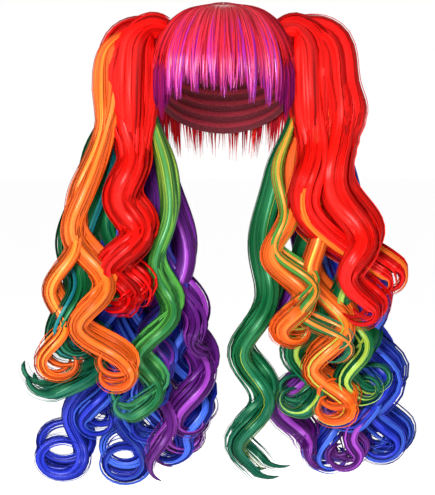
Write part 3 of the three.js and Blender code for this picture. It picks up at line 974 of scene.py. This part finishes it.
def laid(name, guides, material, changes):
    """Hair along the guides, as a plain mesh. Changes set inputs of the tree for this piece alone."""
    hair = bpy.context.scene.wig_hair
    piece = placed(name, guides.mesh(name))
    modifier = piece.modifiers.new(HAIR_TREE, "NODES")
    modifier.node_group = bpy.data.node_groups.get(HAIR_TREE) or hair_tree()
    values = {hair.bl_rna.properties[key].name: getattr(hair, key) for key in WigHair.__annotations__}
    values.update(changes)
    values["Material"] = material
    for item in modifier.node_group.interface.items_tree:
        if item.in_out == "INPUT" and item.name in values:
            modifier[item.identifier] = values[item.name]
    graph = bpy.context.evaluated_depsgraph_get()
    lines = piece.data
    mesh = bpy.data.meshes.new_from_object(piece.evaluated_get(graph))
    piece.modifiers.clear()
    piece.data = mesh
    bpy.data.meshes.remove(lines)
    if not mesh.polygons:
        raise RuntimeError(name + " came out empty")
    return piece


def place_piece(piece, node, finish):
    """Attaches a finished piece to the root and hides the solid that it stands for."""
    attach(piece, "root")
    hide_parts(node)


class WIG_OT_cap(bpy.types.Operator):
    """Make the cap: its net with sewn rows inside, and the hair drawn over it to the two knots"""

    bl_idname = "wig.cap"
    bl_label = "Cap"

    def execute(self, context):
        self.sew_net(context.scene.wig_colours)
        guides = Guides()
        for sign in (-1, 1):
            for bearing, along in DRAWN_FROM:
                guides.add(cap_line(
                    (sign * bearing, sign * KNOT[0]), (along, KNOT[1]),
                    lift=lambda s: WALL + 0.0015 + 0.004 * s,
                    wide=lambda s: lerp(0.009, 0.005, s),
                    thick=lambda s: 0.0026,
                ), wisps=6, accent=CAP_ACCENT)
            for bearing, tip in SIDE_TIPS:
                guides.add(cap_line(
                    (sign * bearing, sign * bearing), (WHORL, tip),
                    lift=off_wall(0.001, 0.006, 0.5),
                    wide=lambda s: 0.0062 * fanned(s),
                    thick=lambda s: 0.0026,
                ), wisps=11, accent=CAP_ACCENT)
        for bearing in range(0, 360, 15):
            front = math.cos(math.radians(bearing)) > 0.6
            guides.add(cap_line(
                (bearing, bearing), (0.003, 0.32 if front else 0.17),
                lift=lambda s: WALL + lerp(0.0042, 0.0028, s),
                wide=lambda s: lerp(0.0020, 0.0036, s),
                thick=lambda s: 0.0012 * (1 - 0.6 * smooth(s, 0.5, 1.0)),
            ), wisps=6, accent=CAP_ACCENT)
        material = hair_material("crown hair", "crown_red", "flame", **CAP_LOOK)
        changes = {**CAP_HAIR, "Wisp share": 0.24, "Strays": 0.0, "Shortest": 0.9, "Frizz": 0.15}
        place_piece(laid("crown_hair", guides, material, changes), "crown", "crown_red")
        return {"FINISHED"}

    def sew_net(self, colours):
        """The thin net that the hair is sewn to: an inner skin with rows of wefts, and an outer one."""
        points, faces, heights = [], [], []
        for skin in ("inner", "outer"):
            for j in range(NET_DOWN + 1):
                row = max(math.sin(math.tau * WEFT_ROWS * j / NET_DOWN), 0.0) if skin == "inner" else 0.0
                for i in range(NET_AROUND):
                    bearing = math.tau * i / NET_AROUND
                    along = max(rim_along(bearing) * j / NET_DOWN, NET_TOP)
                    points.append(wall_point(bearing, along, NET_LIFT[skin] - NET_LIFT["weft"] * row))
                    heights.append(j / NET_DOWN)
        layer = (NET_DOWN + 1) * NET_AROUND
        for j in range(NET_DOWN):
            for i in range(NET_AROUND):
                a, b = j * NET_AROUND + i, j * NET_AROUND + (i + 1) % NET_AROUND
                faces.append((a, b, b + NET_AROUND, a + NET_AROUND))
                faces.append((layer + a, layer + a + NET_AROUND, layer + b + NET_AROUND, layer + b))
        edge = NET_DOWN * NET_AROUND
        for i in range(NET_AROUND):
            a, b = edge + i, edge + (i + 1) % NET_AROUND
            faces.append((a, b, layer + b, layer + a))
        faces.append(tuple(reversed(range(NET_AROUND))))
        faces.append(tuple(layer + i for i in range(NET_AROUND)))
        mesh = bpy.data.meshes.new("cap_net")
        mesh.from_pydata(points, [], faces)
        mesh.attributes.new("along", "FLOAT", "POINT").data.foreach_set("value", heights)
        mesh.shade_smooth()
        mesh.materials.append(net_material(colours))
        place_piece(placed("cap_net", mesh), "crown", "crown_red")


class WIG_OT_fringe(bpy.types.Operator):
    """Make the fringe, the temple locks and the hair down the back"""

    bl_idname = "wig.fringe"
    bl_label = "Fringe and back"

    def execute(self, context):
        self.lay_fringe()
        for name, bearings in TEMPLES.items():
            self.lay_temple(name, bearings)
        self.lay_back()
        return {"FINISHED"}

    def lay_fringe(self):
        guides = Guides()
        for k, clump in enumerate(FRINGE):
            half = math.radians(clump.spread) * FRINGE_RADIUS
            guides.add(cap_line(
                (clump.bearing, clump.bearing), (FRINGE_TOP, clump.tip),
                lift=off_wall(0.001, 0.0065, 0.3),
                wide=lambda s: half * fanned(s * clump.tip) * (1.3 - 0.35 * smooth(s, 0.7, 1.0)),
                thick=lambda s: lerp(0.0012, 0.0034, smooth(s, 0.0, 0.4)) * (1 - 0.3 * smooth(s, 0.8, 1.0)),
                lean=2.2 * math.sin(k * 2.1),
            ), wisps=22, accent=FRINGE_ACCENT * clump.violet)
        look = {"streaks": 0.7, "accent_start": 0.36, "gloss": 0.75, "roughness": 0.26}
        material = hair_material("fringe hair", "fringe_magenta", "violet", **look)
        changes = {**CAP_HAIR, "Wisp share": 0.2, "Strands": 1.1, "Strays": 0.04, "Shortest": 0.86}
        place_piece(laid("fringe_hair", guides, material, changes), "fringe", "fringe_magenta")

    def lay_temple(self, name, bearings):
        guides = Guides()
        for bearing, tip in zip(bearings, TEMPLE_TIPS):
            guides.add(cap_line(
                (bearing, bearing), (TEMPLE_TOP, tip),
                lift=off_wall(0.001, 0.0055, 0.3),
                wide=lambda s: 0.0062 * (1.0 - 0.6 * smooth(s, 0.7, 1.0)),
                thick=lambda s: 0.003 * (1 - 0.5 * smooth(s, 0.8, 1.0)),
            ), wisps=12, accent=CAP_ACCENT)
        material = hair_material(name.replace("_", " "), "temple_purple", "temple_root", gloss=0.0)
        changes = {**CAP_HAIR, "Wisp share": 0.24, "Strands": 1.2, "Shortest": 0.8}
        place_piece(laid(name + "_hair", guides, material, changes), name, "temple_purple")

    def lay_back(self):
        guides = Guides()
        for k in range(BACK_CLUMPS):
            bearing = BACK_FROM + BACK_STEP * k
            tip = BACK_TIP + 0.05 * math.sin(k * 2.4) + 0.04 * math.sin(k * 5.1)
            guides.add(cap_line(
                (bearing, bearing), (WHORL, tip),
                lift=off_wall(0.001, 0.0075, 0.3),
                wide=lambda s: 0.0052 * fanned(s * tip) * (1.2 - 0.3 * smooth(s, 0.8, 1.0)),
                thick=lambda s: lerp(0.0015, 0.004, smooth(s, 0.0, 0.4)) * (1 - 0.4 * smooth(s, 0.8, 1.0)),
                lean=3.0 * math.sin(k * 1.7),
            ), wisps=12, accent=CAP_ACCENT)
        material = hair_material("back hair", "crown_red", "flame", **CAP_LOOK)
        changes = {**CAP_HAIR, "Core": 0.85, "Wisp share": 0.22, "Strands": 0.8, "Shortest": 0.86}
        place_piece(laid("back_hair_wisps", guides, material, changes), "back_hair", "crown_red")


class WIG_OT_tails(bpy.types.Operator):
    """Make the two ponytails: a bundle of waved locks for each colour"""

    bl_idname = "wig.tails"
    bl_label = "Ponytails"

    def execute(self, context):
        for name, bundle in BUNDLES.items():
            full = name.endswith("red_hair")
            guides = self.gather(name, in_metres(bundle), full)
            look = RED_LOOK if bundle.finish == "red" else BRIGHT_LOOK
            begin = BELOW_HEAD if full else FROM_ROOT
            label = name.replace("_", " ")
            material = hair_material(label, bundle.finish, bundle.accent, accent_start=begin, **look)
            place_piece(laid(name + "_wisps", guides, material, {}), name, bundle.finish)
        return {"FINISHED"}

    def gather(self, name, bundle, full):
        """The guides of one bundle. Where it has a head, its locks run over that or over its full front."""
        guides = Guides()
        root = Vector((bundle.x, bundle.y, bundle.z))
        side = math.copysign(1.0, root.x)
        head = head_line(TAIL_HEADS[name]) if name in TAIL_HEADS else None
        front = head_line([row._replace(x=side * row.x) for row in FULL_FRONT])
        if full:
            guides.add(head, HEAD_WISPS, HEAD_ACCENT)
            guides.add(front, FRONT_WISPS, HEAD_ACCENT)
        locks = map(in_metres, bundle.locks)
        for place, lock in enumerate(sorted(locks, key=lambda lock: side * (lock.x + lock.bow))):
            run = "outer" if place else "front" if full else "inner"
            stream = STREAMS[run]
            for part, start, loose in parted(lock, root):
                line = lock_line(loose, start)
                if head:
                    shift = side * stream.middle + stream.across * part.across
                    depth = math.sqrt(1 - 0.5 * shift * shift) if full else SLIM_HEAD
                    over = front if run == "front" else head
                    line = stream_line(over, line, shift, stream.size * part.size, depth)
                guides.add(line, lock.wisps * part.size * WISP_FILL, lock.accent)
        return guides


class WIG_OT_clips(bpy.types.Operator):
    """Finish the clips that hold the ponytails"""

    bl_idname = "wig.clips"
    bl_label = "Clips"

    def execute(self, context):
        material = clip_material(context.scene.wig_colours)
        for name in ("left_tail_clip", "right_tail_clip"):
            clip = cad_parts[name]
            clip.data.materials.clear()
            clip.data.materials.append(material)
        return {"FINISHED"}


class WIG_OT_stage(bpy.types.Operator):
    """Set out the floor, the soft lights and the camera"""

    bl_idname = "wig.stage"
    bl_label = "Stage"

    def execute(self, context):
        stage = context.scene.wig_stage
        self.lay_floor(stage.floor_height)
        self.light(context.scene, stage)
        self.stand_camera(context.scene, stage)
        return {"FINISHED"}

    def lay_floor(self, height, reach=40.0):
        floor = bpy.data.meshes.new("floor")
        corners = [(x * reach, y * reach, height) for x, y in ((-1, -1), (1, -1), (1, 1), (-1, 1))]
        floor.from_pydata(corners, [], [(0, 1, 2, 3)])
        paper, n, shader = new_material("pale paper")
        n.feed(shader, {
            "Base Color": (0.9, 0.9, 0.9, 1.0),
            "Roughness": 0.9,
            "Specular IOR Level": 0.1,
            "Emission Color": (1.0, 1.0, 1.0, 1.0),
            "Emission Strength": 0.75,
        })
        floor.materials.append(paper)
        ground = placed("floor", floor)

    def light(self, scene, stage):
        """Four soft lights that face the middle of the wig, and a white backdrop."""
        middle = Vector((0.0, 0.0, -0.25))
        for name, place, size, power in (
            ("key light", (-0.6, -2.2, 0.36), 0.9, stage.key_power),
            ("left light", (-2.0, -0.7, 0.2), 1.2, stage.fill_power),
            ("right light", (2.0, -0.9, 0.2), 1.2, stage.fill_power),
            ("back light", (0.2, 2.2, 0.4), 1.4, 0.6 * stage.fill_power),
        ):
            lamp = bpy.data.lights.new(name, "AREA")
            lamp.size = size
            lamp.energy = power
            light = placed(name, lamp)
            light.location = place
            light.rotation_euler = (middle - Vector(place)).to_track_quat("-Z", "Y").to_euler()
        world = bpy.data.worlds.new("studio")
        world.use_nodes = True
        n = Nodes(world.node_tree)
        seen = n.add("ShaderNodeLightPath").outputs["Is Camera Ray"]
        n.feed(world.node_tree.nodes["Background"], {
            "Color": (1.0, 1.0, 1.0, 1.0), "Strength": n.math("MAXIMUM", seen, stage.backdrop),
        })
        scene.world = world
        scene.view_settings.view_transform = "Standard"

    def stand_camera(self, scene, stage):
        lens = bpy.data.cameras.new("camera")
        lens.sensor_fit = "VERTICAL"
        lens.sensor_height = 36.0
        lens.lens = stage.lens
        camera = placed("camera", lens)
        camera.location = stage.camera_place
        aim = Vector(stage.camera_aim) - camera.location
        camera.rotation_euler = aim.to_track_quat("-Z", "Y").to_euler()
        scene.camera = camera


class WIG_PT_panel(bpy.types.Panel):
    """The wig's settings and steps"""

    bl_idname = "WIG_PT_panel"
    bl_label = "Rainbow Wig"
    bl_space_type = "VIEW_3D"
    bl_region_type = "UI"
    bl_category = "Wig"

    def draw(self, context):
        for setting, kind in SETTINGS.items():
            box = self.layout.box()
            for name in kind.__annotations__:
                box.prop(getattr(context.scene, setting), name)
        for step in STEPS:
            self.layout.operator(step.bl_idname)


SETTINGS = {"wig_hair": WigHair, "wig_colours": WigColours, "wig_stage": WigStage}
STEPS = (WIG_OT_cap, WIG_OT_fringe, WIG_OT_tails, WIG_OT_clips, WIG_OT_stage)


def register():
    for kind in (*SETTINGS.values(), *STEPS, WIG_PT_panel):
        bpy.utils.register_class(kind)
    for name, kind in SETTINGS.items():
        setattr(bpy.types.Scene, name, bpy.props.PointerProperty(type=kind))


def unregister():
    for name in SETTINGS:
        delattr(bpy.types.Scene, name)
    for kind in (WIG_PT_panel, *reversed(STEPS), *reversed(SETTINGS.values())):
        bpy.utils.unregister_class(kind)


def main():
    register()
    bpy.ops.wig.cap()
    bpy.ops.wig.fringe()
    bpy.ops.wig.tails()
    bpy.ops.wig.clips()
    bpy.ops.wig.stage()


if __name__ == "__main__":
    main()
